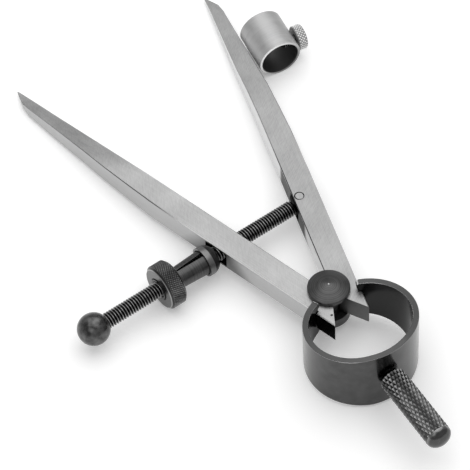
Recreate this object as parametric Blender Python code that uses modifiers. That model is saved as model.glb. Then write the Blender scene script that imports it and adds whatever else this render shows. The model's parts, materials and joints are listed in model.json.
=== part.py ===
"""Spring bow wing divider, lying on its points and its spring, with the loose pencil sleeve beside it.

Metres, +Z up. The tool is modelled in its own frame: the hub's axis is Z, the middle of the legs' thickness is
z = 0, +Y points from the hub to the points and +X to the right leg. That frame is then tilted until the points
and the spring rest on the ground. Run with: blender --background --python part.py
"""

import math

import bmesh
import bpy
from mathutils import Matrix, Vector

# Clearances between neighbouring pieces
GAP = 0.0003
SEAT_GAP = 0.0006
PIN_GAP = 0.00025
SLOT_GAP = 0.00035
# One overrun for every cutter that goes through a piece, and one distance for welding points
OVER = 0.002
WELD = 0.00001

# Legs: lengths from the hub axis, widths from the plane through that axis and the point
LEG_LENGTH = 0.150
LEG_SPREAD = math.radians(15.84)
LEG_SWING_IN = math.radians(15.6)
LEG_SWING_OUT = math.radians(15.0)
LEG_INNER = 0.00105
LEG_OUTER = 0.0107
LEG_THICKNESS = 0.0084
LEG_EDGE = 0.00028
POINT_EDGE_SHARE = 0.25
TAIL_SET = 0.0011
DIMPLE_RADIUS = 0.00045
DIMPLE_DEPTH = 0.0006
DIMPLE_BACK = 0.0079
DIMPLE_OUT = 0.0079
# Sections along a leg, each as shares of the leg's own sizes: length, inner side, upper outer edge,
# lower outer edge, then of half the thickness: top at the inner side, top at the outer edge, bottom
BLADE_SHARES = (
    (0.360, 1.00, 0.991, 1.000, 1.00, 1.00, 1.000),
    (0.493, 1.00, 0.949, 0.991, 1.00, 1.00, 1.000),
    (0.573, 0.98, 0.897, 0.907, 0.97, 1.00, 1.000),
    (0.653, 0.80, 0.829, 0.832, 0.80, 0.99, 0.913),
    (0.733, 0.48, 0.710, 0.735, 0.55, 0.86, 0.722),
    (0.853, 0.33, 0.540, 0.606, 0.33, 0.62, 0.435),
    (0.933, 0.24, 0.439, 0.495, 0.23, 0.46, 0.244),
    (0.960, 0.20, 0.364, 0.370, 0.19, 0.33, 0.180),
    (1.000, 0.00, 0.030, 0.030, 0.05, 0.05, 0.070),
)

# Fulcrum stud, a turned spool on the hub axis
STUD_RADIUS = 0.0075
STUD_NECK_RADIUS = 0.0043
STUD_RIM = 0.0014
STUD_CONE = 0.0016
STUD_FOOT = 0.0041
STUD_CHAMFER = 0.0003
STUD_CENTRE_RADIUS = 0.0005
STUD_CENTRE_DEPTH = 0.0004

# Bow spring, an open oval band that narrows from its back to the fork at each end; the ears' half gap is
# measured from the hub's plane
BOW_SHIFT = -0.0011
BOW_BACK = 0.0210
BOW_HALF_WIDTH = 0.02045
BOW_HALF_DEPTH = 0.01875
BOW_WALL = 0.00205
BOW_HEIGHT = 0.0260
BOW_END_HEIGHT = 0.0165
BOW_TAPER_START = math.radians(20)
BOW_EDGE = 0.00022
BOW_CORNER = math.radians(50)
BOW_COLUMNS = 76
EAR_HALF_GAP = 0.0078
EAR_SLOT = 0.0096
EAR_CORNER = 0.0012
EAR_SLOT_CORNER = 0.0019
EAR_CORNER_STEPS = 4
GROOVE_DEPTH = 0.0012

# Finger grip and the rivet that holds it
GRIP_SHIFT = -0.0018
GRIP_LENGTH = 0.0324
GRIP_RADIUS = 0.00475
GRIP_LEAN = math.radians(2.07)
GRIP_NECK_RADIUS = 0.0030
GRIP_NECK = 0.0009
GRIP_SHOULDER = 0.0005
GRIP_DOME = 0.0032
RIVET_RADIUS = 0.0014
RIVET_REACH = 0.0080
RIVET_HEAD_RADIUS = 0.0028
RIVET_HEAD = 0.0012

# Adjusting screw, measured along its axis from the swivel pin in the right leg
PIN_ALONG = 0.0431
PIN_OUT = 0.0033
PIN_RADIUS = 0.0016
PIN_CHAMFER = 0.0002
SCREW_SKEW = math.radians(3.7)
SCREW_RADIUS = 0.00295
EYE_RADIUS = 0.0034
BALL_PLACE = 0.0897
BALL_RADIUS = 0.0059

# Cone washer, split nut and wheel on the screw
CUP_SEAT = 0.00116
CUP_RADIUS = 0.0056
CUP_NOSE_RADIUS = 0.0039
CUP_CONE = 0.0028
CUP_RIM = 0.00215
CUP_BULGE_SHARE = 0.4
CUP_RECESS = 0.0012
COLLET_RADIUS = 0.0046
COLLET_TAIL_RADIUS = 0.0040
COLLET_LENGTH = 0.0128
COLLET_SPLIT = 0.0018
COLLET_TAIL_SPLIT = 0.0005
COLLET_CHAMFER = 0.0004
WHEEL_RADIUS = 0.0085
WHEEL_WIDTH = 0.0066
WHEEL_CHAMFER = 0.0010

# Pencil sleeve and its clamp screw, lying on the ground beside the right leg; the first share is of the
# leg's length, the second of the sleeve's radius, from the leg's lower edge to the axis at the far rim
SLEEVE_ALONG_SHARE = 0.7187
SLEEVE_SIDE_SHARE = 0.925
SLEEVE_TURN = math.radians(7.1)
SLEEVE_RADIUS = 0.0083
SLEEVE_WALL = 0.0011
SLEEVE_LENGTH = 0.0170
SLEEVE_EDGE = 0.0002
CLAMP_PLACE = 0.0062
CLAMP_RADIUS = 0.0020
CLAMP_ENTRY = 0.0035
CLAMP_REACH = 0.0090
CLAMP_HEAD_RADIUS = 0.00495
CLAMP_HEAD_WIDTH = 0.0034
CLAMP_HEAD_CHAMFER = 0.0005
CLAMP_HEAD_BORE = 0.0020

# Steps round turned pieces, over the legs' swing and in the search by halves
FINE_STEPS = 56
SMALL_STEPS = 36
DOME_STEPS = 7
SWING_STEPS = 8
MARK_STEPS = 16
HALVINGS = 40

# Sizes that follow from the ones above
HALF_LEG = LEG_THICKNESS / 2
HALF_SLOT = SCREW_RADIUS + SLOT_GAP
STEEL_BORE = SCREW_RADIUS + GAP
WEB_OUT = LEG_OUTER - GROOVE_DEPTH + GAP
PIN_HOLE_RADIUS = PIN_RADIUS + PIN_GAP


def clear_scene():
    for thing in list(bpy.data.objects):
        bpy.data.objects.remove(thing, do_unlink=True)


def make_collection(name):
    collection = bpy.data.collections.new(name)
    bpy.context.scene.collection.children.link(collection)
    return collection


def make_material(name, colour, metallic, roughness):
    material = bpy.data.materials.new(name)
    material.use_nodes = True
    shader = material.node_tree.nodes["Principled BSDF"]
    shader.inputs["Base Color"].default_value = (*colour, 1.0)
    shader.inputs["Metallic"].default_value = metallic
    shader.inputs["Roughness"].default_value = roughness
    material.diffuse_color = (*colour, 1.0)
    return material


def add_frame(name, parent, place, turn=None):
    """An empty that carries pieces; turn is a 3x3 matrix whose columns are its axes."""
    frame = bpy.data.objects.new(name, None)
    PARTS.objects.link(frame)
    frame.parent = parent
    frame.location = place
    if turn is not None:
        frame.rotation_euler = turn.to_euler()
    return frame


def add_piece(name, mesh, material, parent, place=(0, 0, 0), turn=None):
    piece = bpy.data.objects.new(name, mesh)
    PARTS.objects.link(piece)
    piece.parent = parent
    piece.location = place
    if turn is not None:
        piece.rotation_euler = turn.to_euler()
    mesh.materials.append(material)
    return piece


def columns(x_axis, y_axis, z_axis):
    return Matrix((x_axis, y_axis, z_axis)).transposed()


def profile_mesh(name, profile, closed=False):
    """Half of a turned outline, as (radius, height) points that run down the outer side."""
    mesh = bpy.data.meshes.new(name)
    edges = [(k, k + 1) for k in range(len(profile) - 1)]
    if closed:
        edges.append((len(profile) - 1, 0))
    mesh.from_pydata([(radius, 0, height) for radius, height in profile], edges, [])
    return mesh


def turn_round(piece, steps):
    screw = piece.modifiers.new("turned", "SCREW")
    screw.axis = "Z"
    screw.steps = steps
    screw.render_steps = steps
    screw.use_merge_vertices = True
    screw.merge_threshold = WELD
    screw.use_smooth_shade = True


def add_turned(name, profile, material, parent, steps, place=(0, 0, 0), closed=False):
    piece = add_piece(name, profile_mesh(name, profile, closed), material, parent, place)
    turn_round(piece, steps)
    return piece


def dome(radius, height, top, steps=DOME_STEPS):
    """Points of a quarter ellipse from the axis at top down to the full radius."""
    angles = [math.pi / 2 * k / steps for k in range(steps + 1)]
    return [(radius * math.sin(a), top - height * (1 - math.cos(a))) for a in angles]


def add_cutter(name, mesh, parent, place=(0, 0, 0), turn=None):
    cutter = bpy.data.objects.new(name, mesh)
    CUTTERS.objects.link(cutter)
    cutter.parent = parent
    cutter.location = place
    if turn is not None:
        cutter.rotation_euler = turn.to_euler()
    cutter.hide_render = True
    cutter.display_type = "WIRE"
    return cutter


def rod_mesh(name, radius, low, high, steps=SMALL_STEPS):
    """A plain rod along local Z from low to high."""
    mesh = bpy.data.meshes.new(name)
    shape = bmesh.new()
    bmesh.ops.create_cone(
        shape, cap_ends=True, segments=steps, radius1=radius, radius2=radius, depth=high - low
    )
    bmesh.ops.translate(shape, verts=shape.verts, vec=(0, 0, (low + high) / 2))
    shape.to_mesh(mesh)
    shape.free()
    return mesh


def plate_mesh(name, outline, low, high):
    """A flat outline in XY, filled and raised from low to high."""
    curve = bpy.data.curves.new(name, "CURVE")
    curve.dimensions = "2D"
    curve.fill_mode = "BOTH"
    curve.extrude = (high - low) / 2
    spline = curve.splines.new("POLY")
    spline.points.add(len(outline) - 1)
    for point, (x, y) in zip(spline.points, outline):
        point.co = (x, y, 0, 1)
    spline.use_cyclic_u = True
    guide = bpy.data.objects.new(name, curve)
    CUTTERS.objects.link(guide)
    bpy.context.view_layer.update()
    mesh = bpy.data.meshes.new_from_object(guide.evaluated_get(bpy.context.evaluated_depsgraph_get()))
    bpy.data.objects.remove(guide, do_unlink=True)
    bpy.data.curves.remove(curve)
    shape = bmesh.new()
    shape.from_mesh(mesh)
    bmesh.ops.remove_doubles(shape, verts=shape.verts, dist=WELD)
    bmesh.ops.recalc_face_normals(shape, faces=shape.faces)
    bmesh.ops.translate(shape, verts=shape.verts, vec=(0, 0, (low + high) / 2))
    shape.to_mesh(mesh)
    shape.free()
    return mesh


def cut(piece, cutter, operation="DIFFERENCE"):
    boolean = piece.modifiers.new(cutter.name, "BOOLEAN")
    boolean.operation = operation
    boolean.object = cutter
    boolean.solver = "EXACT"


def leg_axes(side, spread):
    """Directions along a leg to its point, and outward from its inner side, in the tool frame."""
    along = Vector((side * math.sin(spread), math.cos(spread), 0))
    outward = Vector((side * math.cos(spread), -math.sin(spread), 0))
    return along, outward


def leg_section(inner, upper, lower, top_inner, top_outer, bottom, edge):
    """Corners of one section as (outward, height), with every corner cut back by edge."""
    corners = [
        Vector((inner, top_inner)),
        Vector((upper, top_outer)),
        Vector((lower, -bottom)),
        Vector((inner, -bottom)),
    ]
    points = []
    for k, corner in enumerate(corners):
        before = (corners[k - 1] - corner).normalized()
        after = (corners[(k + 1) % len(corners)] - corner).normalized()
        points += [corner + edge * before, corner + edge * after]
    return points


def leg_mesh(name, side):
    """A leg lofted through its sections: straight from the tail, then tapering to the point."""
    tail = -(TAIL_SET + LEG_OUTER + OVER)
    straight = leg_section(LEG_INNER, LEG_OUTER, LEG_OUTER, HALF_LEG, HALF_LEG, HALF_LEG, LEG_EDGE)
    stations = [(tail, straight)]
    for along, inner, upper, lower, *heights in BLADE_SHARES:
        edge = LEG_EDGE * max(min(heights), POINT_EDGE_SHARE)
        top_inner, top_outer, bottom = (HALF_LEG * height for height in heights)
        section = leg_section(
            LEG_INNER * inner, LEG_OUTER * upper, LEG_OUTER * lower, top_inner, top_outer, bottom, edge
        )
        stations.append((LEG_LENGTH * along, section))
    shape = bmesh.new()
    rings = [
        [shape.verts.new((side * point.x, along, point.y)) for point in section]
        for along, section in stations
    ]
    for ring, following in zip(rings, rings[1:]):
        for k in range(len(ring)):
            after = (k + 1) % len(ring)
            shape.faces.new((ring[k], ring[after], following[after], following[k]))
    shape.faces.new(rings[0])
    shape.faces.new(rings[-1])
    bmesh.ops.triangulate(shape, faces=shape.faces)
    bmesh.ops.recalc_face_normals(shape, faces=shape.faces)
    mesh = bpy.data.meshes.new(name)
    shape.to_mesh(mesh)
    shape.free()
    return mesh


def bow_point(angle):
    """Middle of the spring's wall in the tool frame; angle runs from the front towards +X."""
    half_width = BOW_HALF_WIDTH - BOW_WALL / 2
    half_depth = BOW_HALF_DEPTH - BOW_WALL / 2
    return Vector((BOW_SHIFT + half_width * math.sin(angle), half_depth * math.cos(angle) - BOW_BACK, 0))


def bow_tangent(angle):
    half_width = BOW_HALF_WIDTH - BOW_WALL / 2
    half_depth = BOW_HALF_DEPTH - BOW_WALL / 2
    return Vector((half_width * math.cos(angle), -half_depth * math.sin(angle), 0))


def web_end(side):
    """Angle at which the spring's wall stands in the groove of one leg, found by halving."""
    outward = leg_axes(side, LEG_SPREAD)[1]
    near, far = 0.0, math.pi / 2
    for _ in range(HALVINGS):
        middle = (near + far) / 2
        if bow_point(side * middle).dot(outward) < WEB_OUT:
            near = middle
        else:
            far = middle
    return far


def ear_end(side):
    """Angle from the front at which one fork's ears end."""
    return math.asin((EAR_HALF_GAP - side * BOW_SHIFT) / (BOW_HALF_WIDTH - BOW_WALL / 2))


def bow_half_height(angle):
    """Half the band's height: full round the back, then narrowing evenly to the ears."""
    from_back = abs(angle - math.pi)
    share = max(from_back - BOW_TAPER_START, 0) / (math.pi - ear_end(1) - BOW_TAPER_START)
    return (BOW_HEIGHT + (BOW_END_HEIGHT - BOW_HEIGHT) * share) / 2


def bow_mesh():
    """The band unrolled: two ear strips and the web between them, each with its own ends."""
    start, finish = ear_end(1), math.tau - ear_end(-1)
    web_start, web_finish = web_end(1), math.tau - web_end(-1)
    stretch = bow_tangent(start).length
    turns = sorted(
        radius * (1 - math.cos(math.pi / 2 * k / EAR_CORNER_STEPS)) / stretch
        for radius in (EAR_CORNER, EAR_SLOT_CORNER)
        for k in range(1, EAR_CORNER_STEPS + 1)
    )
    stations = [start, finish, web_start, web_finish, math.pi - BOW_TAPER_START, math.pi + BOW_TAPER_START]
    stations += [start + turn for turn in turns] + [finish - turn for turn in turns]
    first = max(start + turns[-1], web_start)
    last = min(finish - turns[-1], web_finish)
    stations += [first + (last - first) * k / BOW_COLUMNS for k in range(1, BOW_COLUMNS)]
    stations = sorted(set(stations))

    def corner_drop(angle, radius):
        away = min(angle - start, finish - angle) * stretch
        if away >= radius:
            return 0.0
        return radius - math.sqrt(max(radius**2 - (radius - max(away, 0)) ** 2, 0))

    def in_web(angle):
        return web_start <= angle <= web_finish

    def in_ear(angle):
        return start <= angle <= finish

    shape = bmesh.new()
    grid = []
    for angle in stations:
        place = bow_point(angle)
        outer = bow_half_height(angle)
        inner = EAR_SLOT / 2
        if in_ear(angle):
            outer -= corner_drop(angle, EAR_CORNER)
        if in_ear(angle) and not in_web(angle):
            inner += corner_drop(angle, EAR_SLOT_CORNER)
        heights = (-outer, -inner, inner, outer)
        grid.append([shape.verts.new((place.x, place.y, height)) for height in heights])
    strips = ((0, in_ear), (1, in_web), (2, in_ear))
    for here, there, near, far in zip(grid, grid[1:], stations, stations[1:]):
        for row, inside in strips:
            if inside(near) and inside(far):
                shape.faces.new((here[row], here[row + 1], there[row + 1], there[row]))
    loose = [vert for vert in shape.verts if not vert.link_faces]
    bmesh.ops.delete(shape, geom=loose, context="VERTS")
    bmesh.ops.recalc_face_normals(shape, faces=shape.faces)
    mesh = bpy.data.meshes.new("bow_spring")
    shape.to_mesh(mesh)
    shape.free()
    return mesh


def add_bow(material, tool, grip_frame):
    bow = add_piece("bow_spring", bow_mesh(), material, tool)
    wall = bow.modifiers.new("wall", "SOLIDIFY")
    wall.thickness = BOW_WALL
    wall.offset = 0
    wall.use_even_offset = True
    edges = bow.modifiers.new("edges", "BEVEL")
    edges.width = BOW_EDGE
    edges.segments = 1
    edges.limit_method = "ANGLE"
    edges.angle_limit = BOW_CORNER
    hole = rod_mesh("rivet_hole", RIVET_RADIUS + GAP, -BOW_WALL - OVER, OVER)
    cut(bow, add_cutter("rivet_hole", hole, grip_frame))
    return bow


def add_stud(material, tool):
    seat = HALF_LEG + GAP
    rim = seat + STUD_RIM
    foot = -seat - STUD_FOOT
    profile = [
        (0, rim + STUD_CONE - STUD_CENTRE_DEPTH),
        (STUD_CENTRE_RADIUS, rim + STUD_CONE),
        (STUD_RADIUS - STUD_CHAMFER, rim),
        (STUD_RADIUS, rim - STUD_CHAMFER),
        (STUD_RADIUS, seat),
        (STUD_NECK_RADIUS, seat),
        (STUD_NECK_RADIUS, -seat),
        (STUD_RADIUS, -seat),
        (STUD_RADIUS, foot + STUD_CHAMFER),
        (STUD_RADIUS - STUD_CHAMFER, foot),
        (0, foot),
    ]
    return add_turned("fulcrum_stud", profile, material, tool, FINE_STEPS)


def groove_cutter(side, tool):
    """A slot across a leg's outer face, square to the end of the spring's wall."""
    angle = side * web_end(side)
    inward = -side * bow_tangent(angle).normalized()
    turn = columns(inward, Vector((0, 0, 1)).cross(inward), Vector((0, 0, 1)))
    reach = GROOVE_DEPTH + OVER
    half = BOW_WALL / 2 + GAP
    outline = [(-reach, -half), (GAP, -half), (GAP, half), (-reach, half)]
    mesh = plate_mesh("groove", outline, -HALF_LEG - OVER, HALF_LEG + OVER)
    return add_cutter("groove", mesh, tool, bow_point(angle), turn)


def add_leg(side, name, material, tool):
    turn = Matrix.Rotation(-side * LEG_SPREAD, 3, "Z")
    leg = add_piece(name, leg_mesh(name, side), material, tool, turn=turn)
    through = HALF_LEG + OVER
    notch = rod_mesh("notch", STUD_NECK_RADIUS + GAP, -through, through)
    cut(leg, add_cutter("notch", notch, leg))
    end = -(TAIL_SET + LEG_OUTER + OVER + OVER)
    bevel = [
        (-side * OVER, OVER - TAIL_SET),
        (side * (-end - TAIL_SET), end),
        (-side * OVER, end),
    ]
    cut(leg, add_cutter("tail_bevel", plate_mesh("tail_bevel", bevel, -through, through), leg))
    cut(leg, groove_cutter(side, tool))
    return leg


def swing_angles():
    low = LEG_SPREAD - LEG_SWING_IN
    high = LEG_SPREAD + LEG_SWING_OUT
    return [low + (high - low) * k / SWING_STEPS for k in range(SWING_STEPS + 1)]


def cut_right_leg(leg):
    """The pin's hole, and the slot in which the screw's eye swings."""
    pin = Vector((PIN_OUT, PIN_ALONG))
    hole = rod_mesh("pin_hole", PIN_HOLE_RADIUS, -HALF_LEG - OVER, HALF_LEG + OVER)
    cut(leg, add_cutter("pin_hole", hole, leg, (*pin, 0)))
    pocket = rod_mesh("eye_pocket", EYE_RADIUS + SLOT_GAP, -HALF_SLOT, HALF_SLOT)
    cut(leg, add_cutter("eye_pocket", pocket, leg, (*pin, 0)))
    outline = []
    for side, spread in ((1, swing_angles()[0]), (-1, swing_angles()[-1])):
        lean = spread + SCREW_SKEW
        along = Vector((-math.cos(lean), -math.sin(lean)))
        across = Vector((-math.sin(lean), math.cos(lean))) * side * HALF_SLOT
        reach = (PIN_OUT + OVER + HALF_SLOT) / math.cos(lean)
        edge = [pin + across, pin + across + reach * along]
        outline += edge if side > 0 else edge[::-1]
    slot = plate_mesh("eye_slot", [tuple(point) for point in outline], -HALF_SLOT, HALF_SLOT)
    cut(leg, add_cutter("eye_slot", slot, leg))


def cut_left_leg(leg):
    """The window through which the screw passes at every opening, and a small drilled mark."""
    near, far = -OVER, LEG_OUTER + OVER
    reach = {near: [], far: []}
    for spread in swing_angles():
        right_along, right_outward = leg_axes(1, spread)
        along, outward = leg_axes(-1, spread)
        pin = PIN_ALONG * right_along + PIN_OUT * right_outward
        lean = spread - SCREW_SKEW
        slack = HALF_SLOT / math.cos(lean)
        for out, found in reach.items():
            middle = pin.dot(along) + (out - pin.dot(outward)) * math.tan(lean)
            found += [middle - slack, middle + slack]
    outline = [
        (-near, min(reach[near])),
        (-near, max(reach[near])),
        (-far, max(reach[far])),
        (-far, min(reach[far])),
    ]
    window = plate_mesh("screw_window", outline, -HALF_SLOT, HALF_SLOT)
    cut(leg, add_cutter("screw_window", window, leg))
    mark = rod_mesh("mark", DIMPLE_RADIUS, HALF_LEG - DIMPLE_DEPTH, HALF_LEG + OVER, MARK_STEPS)
    cut(leg, add_cutter("mark", mark, leg, (-DIMPLE_OUT, -DIMPLE_BACK, 0)))


def add_pin(material, leg):
    half = HALF_LEG
    profile = [
        (0, half),
        (PIN_RADIUS - PIN_CHAMFER, half),
        (PIN_RADIUS, half - PIN_CHAMFER),
        (PIN_RADIUS, PIN_CHAMFER - half),
        (PIN_RADIUS - PIN_CHAMFER, -half),
        (0, -half),
    ]
    return add_turned("screw_swivel_pin", profile, material, leg, SMALL_STEPS, (PIN_OUT, PIN_ALONG, 0))


def add_screw(material, frame):
    """A plain rod with an eye at the pin; its end stands in the ball."""
    rod = rod_mesh("adjusting_screw", SCREW_RADIUS, 0, BALL_PLACE - GAP, SMALL_STEPS)
    screw = add_piece("adjusting_screw", rod, material, frame)
    across = Matrix.Rotation(math.pi / 2, 3, "Y")
    eye = rod_mesh("eye", EYE_RADIUS, -SCREW_RADIUS, SCREW_RADIUS)
    cut(screw, add_cutter("eye", eye, frame, turn=across), "UNION")
    hole = rod_mesh("eye_hole", PIN_HOLE_RADIUS, -EYE_RADIUS - OVER, EYE_RADIUS + OVER)
    cut(screw, add_cutter("eye_hole", hole, frame, turn=across))
    return screw


def add_ball(material, frame):
    bore = STEEL_BORE
    last = math.pi - math.asin(bore / BALL_RADIUS)
    steps = 2 * DOME_STEPS
    angles = [last * k / steps for k in range(steps + 1)]
    profile = [(BALL_RADIUS * math.sin(a), BALL_RADIUS * math.cos(a)) for a in angles]
    profile += [(bore, 0), (0, 0)]
    place = (0, 0, BALL_PLACE)
    return add_turned("screw_ball", profile, material, frame, SMALL_STEPS, place)


def cup_start():
    """Distance from the pin at which the cone washer begins, just off the left leg's outer face."""
    right_along, right_outward = leg_axes(1, LEG_SPREAD)
    outward = leg_axes(-1, LEG_SPREAD)[1]
    pin = PIN_ALONG * right_along + PIN_OUT * right_outward
    return (LEG_OUTER - pin.dot(outward)) / math.cos(LEG_SPREAD - SCREW_SKEW) + CUP_SEAT


def add_cup(material, frame):
    top = CUP_CONE + CUP_RIM
    shoulder = []
    for k in range(DOME_STEPS + 1):
        straight = k / DOME_STEPS
        turn = math.pi / 2 * straight
        fall = straight + CUP_BULGE_SHARE * (1 - math.cos(turn) - straight)
        run = straight + CUP_BULGE_SHARE * (math.sin(turn) - straight)
        shoulder.append((CUP_RADIUS + (CUP_NOSE_RADIUS - CUP_RADIUS) * fall, CUP_CONE * (1 - run)))
    profile = [
        (CUP_RADIUS, top),
        *shoulder,
        (STEEL_BORE, 0),
        (STEEL_BORE, top - CUP_RECESS),
        (COLLET_RADIUS + GAP, top - CUP_RECESS),
        (COLLET_RADIUS + GAP, top),
    ]
    place = (0, 0, cup_start())
    return add_turned("cone_washer", profile, material, frame, FINE_STEPS, place, closed=True)


def collet_start():
    return cup_start() + CUP_CONE + CUP_RIM - CUP_RECESS + GAP


def wheel_start():
    return collet_start() + COLLET_LENGTH + GAP


def add_nut_half(side, name, material, frame):
    """One half of the split nut: a taper before the wheel and a plain tail inside it."""
    length = COLLET_LENGTH + GAP + WHEEL_WIDTH + GAP
    profile = [
        (COLLET_TAIL_RADIUS, length),
        (COLLET_TAIL_RADIUS, COLLET_LENGTH),
        (COLLET_RADIUS, COLLET_CHAMFER),
        (COLLET_RADIUS - COLLET_CHAMFER, 0),
        (STEEL_BORE, 0),
        (STEEL_BORE, length),
    ]
    place = (0, 0, collet_start())
    half = add_turned(name, profile, material, frame, FINE_STEPS, place, closed=True)
    wide, narrow = side * COLLET_SPLIT / 2, side * COLLET_TAIL_SPLIT / 2
    away = -side * (COLLET_RADIUS + OVER)
    outline = [
        (away, -OVER),
        (wide, -OVER),
        (wide, 0),
        (narrow, COLLET_LENGTH),
        (narrow, length + OVER),
        (away, length + OVER),
    ]
    across = columns((0, 1, 0), (0, 0, 1), (1, 0, 0))
    mesh = plate_mesh("split", outline, -COLLET_RADIUS - OVER, COLLET_RADIUS + OVER)
    cut(half, add_cutter("split", mesh, frame, place, across))
    return half


def add_wheel(material, frame):
    bore = COLLET_TAIL_RADIUS + GAP
    profile = [
        (bore, WHEEL_WIDTH),
        (WHEEL_RADIUS - WHEEL_CHAMFER, WHEEL_WIDTH),
        (WHEEL_RADIUS, WHEEL_WIDTH - WHEEL_CHAMFER),
        (WHEEL_RADIUS, WHEEL_CHAMFER),
        (WHEEL_RADIUS - WHEEL_CHAMFER, 0),
        (bore, 0),
    ]
    place = (0, 0, wheel_start())
    return add_turned("nut_wheel", profile, material, frame, FINE_STEPS, place, closed=True)


def add_grip(material, frame):
    """Turned grip: neck at the spring, shoulder, plain body for the knurl, domed end, blind bore."""
    bore = RIVET_RADIUS + GAP
    profile = dome(GRIP_RADIUS, GRIP_DOME, GRIP_LENGTH)
    profile += [
        (GRIP_RADIUS, GRIP_NECK + GRIP_SHOULDER),
        (GRIP_NECK_RADIUS, GRIP_NECK),
        (GRIP_NECK_RADIUS, GAP),
        (bore, GAP),
        (bore, RIVET_REACH + GAP),
        (0, RIVET_REACH + GAP),
    ]
    return add_turned("finger_grip", profile, material, frame, FINE_STEPS)


def add_rivet(material, frame):
    seat = -BOW_WALL - SEAT_GAP
    head = [(radius, -height) for radius, height in dome(RIVET_HEAD_RADIUS, RIVET_HEAD, RIVET_HEAD)]
    profile = [(0, RIVET_REACH), (RIVET_RADIUS, RIVET_REACH), (RIVET_RADIUS, seat)]
    profile += [(radius, seat + height) for radius, height in reversed(head)]
    return add_turned("grip_rivet", profile, material, frame, SMALL_STEPS)


def add_sleeve(material, frame, clamp_frame):
    inner = SLEEVE_RADIUS - SLEEVE_WALL
    profile = [
        (SLEEVE_RADIUS - SLEEVE_EDGE, SLEEVE_LENGTH),
        (SLEEVE_RADIUS, SLEEVE_LENGTH - SLEEVE_EDGE),
        (SLEEVE_RADIUS, SLEEVE_EDGE),
        (SLEEVE_RADIUS - SLEEVE_EDGE, 0),
        (inner + SLEEVE_EDGE, 0),
        (inner, SLEEVE_EDGE),
        (inner, SLEEVE_LENGTH - SLEEVE_EDGE),
        (inner + SLEEVE_EDGE, SLEEVE_LENGTH),
    ]
    sleeve = add_turned("pencil_sleeve", profile, material, frame, FINE_STEPS, closed=True)
    hole = rod_mesh("clamp_hole", CLAMP_RADIUS + GAP, inner - OVER, SLEEVE_RADIUS + OVER)
    cut(sleeve, add_cutter("clamp_hole", hole, clamp_frame))
    return sleeve


def add_clamp(shank_material, head_material, frame):
    start = SLEEVE_RADIUS - SLEEVE_WALL - CLAMP_ENTRY
    finish = CLAMP_REACH + CLAMP_HEAD_BORE
    shank = rod_mesh("clamp_screw", CLAMP_RADIUS, start, finish)
    add_piece("clamp_screw", shank, shank_material, frame)
    bore = CLAMP_RADIUS + GAP
    top = CLAMP_REACH + CLAMP_HEAD_WIDTH
    profile = [
        (0, top),
        (CLAMP_HEAD_RADIUS - CLAMP_HEAD_CHAMFER, top),
        (CLAMP_HEAD_RADIUS, top - CLAMP_HEAD_CHAMFER),
        (CLAMP_HEAD_RADIUS, CLAMP_REACH + CLAMP_HEAD_CHAMFER),
        (CLAMP_HEAD_RADIUS - CLAMP_HEAD_CHAMFER, CLAMP_REACH),
        (bore, CLAMP_REACH),
        (bore, finish + GAP),
        (0, finish + GAP),
    ]
    add_turned("clamp_screw_head", profile, head_material, frame, SMALL_STEPS)


def rest_tilt():
    """Angle by which the points drop below the hub when they and the spring's lower rim touch the ground."""
    angle = math.pi - BOW_TAPER_START
    rim = bow_half_height(angle)
    rim_back = -bow_point(angle).y
    return min(
        math.atan2(rim - HALF_LEG * bottom, LEG_LENGTH * along * math.cos(LEG_SPREAD) + rim_back)
        for along, _, _, _, _, _, bottom in BLADE_SHARES
    )


def add_screw_frame(tool):
    """Frame at the swivel pin whose Z points along the screw to its ball and whose X points up."""
    along, outward = leg_axes(1, LEG_SPREAD)
    place = PIN_ALONG * along + PIN_OUT * outward
    to_ball = Vector((-math.cos(SCREW_SKEW), -math.sin(SCREW_SKEW), 0))
    up = Vector((0, 0, 1))
    return add_frame("screw_frame", tool, place, columns(up, to_ball.cross(up), to_ball))


def add_grip_frame(tool):
    """Frame on the spring's rear wall whose Z points along the grip."""
    place = (GRIP_SHIFT, -BOW_BACK - BOW_HALF_DEPTH, 0)
    to_end = Vector((-math.sin(GRIP_LEAN), -math.cos(GRIP_LEAN), 0))
    up = Vector((0, 0, 1))
    return add_frame("grip_frame", tool, place, columns(up, to_end.cross(up), to_end))


def leg_edge(distance):
    """How far a leg's lower outer edge stands out at a distance from the hub."""
    share = distance / LEG_LENGTH
    for near, far in zip(BLADE_SHARES, BLADE_SHARES[1:]):
        if near[0] <= share <= far[0]:
            part = (share - near[0]) / (far[0] - near[0])
            return LEG_OUTER * (near[3] + (far[3] - near[3]) * part)
    return LEG_OUTER


def add_sleeve_frames(ground):
    """Frames of the sleeve, with Z along its bore, and of its clamp screw, with Z from tube to head."""
    leg_along, leg_outward = leg_axes(1, LEG_SPREAD)
    lean = LEG_SPREAD - SLEEVE_TURN
    near = LEG_LENGTH * SLEEVE_ALONG_SHARE
    far_side = leg_edge(near + SLEEVE_LENGTH * math.cos(lean)) + SLEEVE_RADIUS * SLEEVE_SIDE_SHARE
    spot = near * leg_along + (far_side + SLEEVE_LENGTH * math.sin(lean)) * leg_outward
    along = Vector((math.sin(SLEEVE_TURN), math.cos(SLEEVE_TURN), 0))
    sideways = Vector((math.cos(SLEEVE_TURN), -math.sin(SLEEVE_TURN), 0))
    place = (spot.x, spot.y, SLEEVE_RADIUS)
    sleeve = add_frame("sleeve_frame", ground, place, columns(sideways, along.cross(sideways), along))
    out = Vector((1, 0, 0))
    clamp_axes = columns(Vector((0, 0, 1)), out.cross(Vector((0, 0, 1))), out)
    return sleeve, add_frame("clamp_frame", sleeve, (0, 0, CLAMP_PLACE), clamp_axes)


def corners_under(frame):
    """World corners of every piece carried by a frame."""
    graph = bpy.context.evaluated_depsgraph_get()
    found = []
    for piece in PARTS.objects:
        if piece.type == "MESH" and frame in list(ancestors(piece)):
            ready = piece.evaluated_get(graph)
            found += [ready.matrix_world @ vert.co for vert in ready.data.vertices]
    return found


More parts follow.
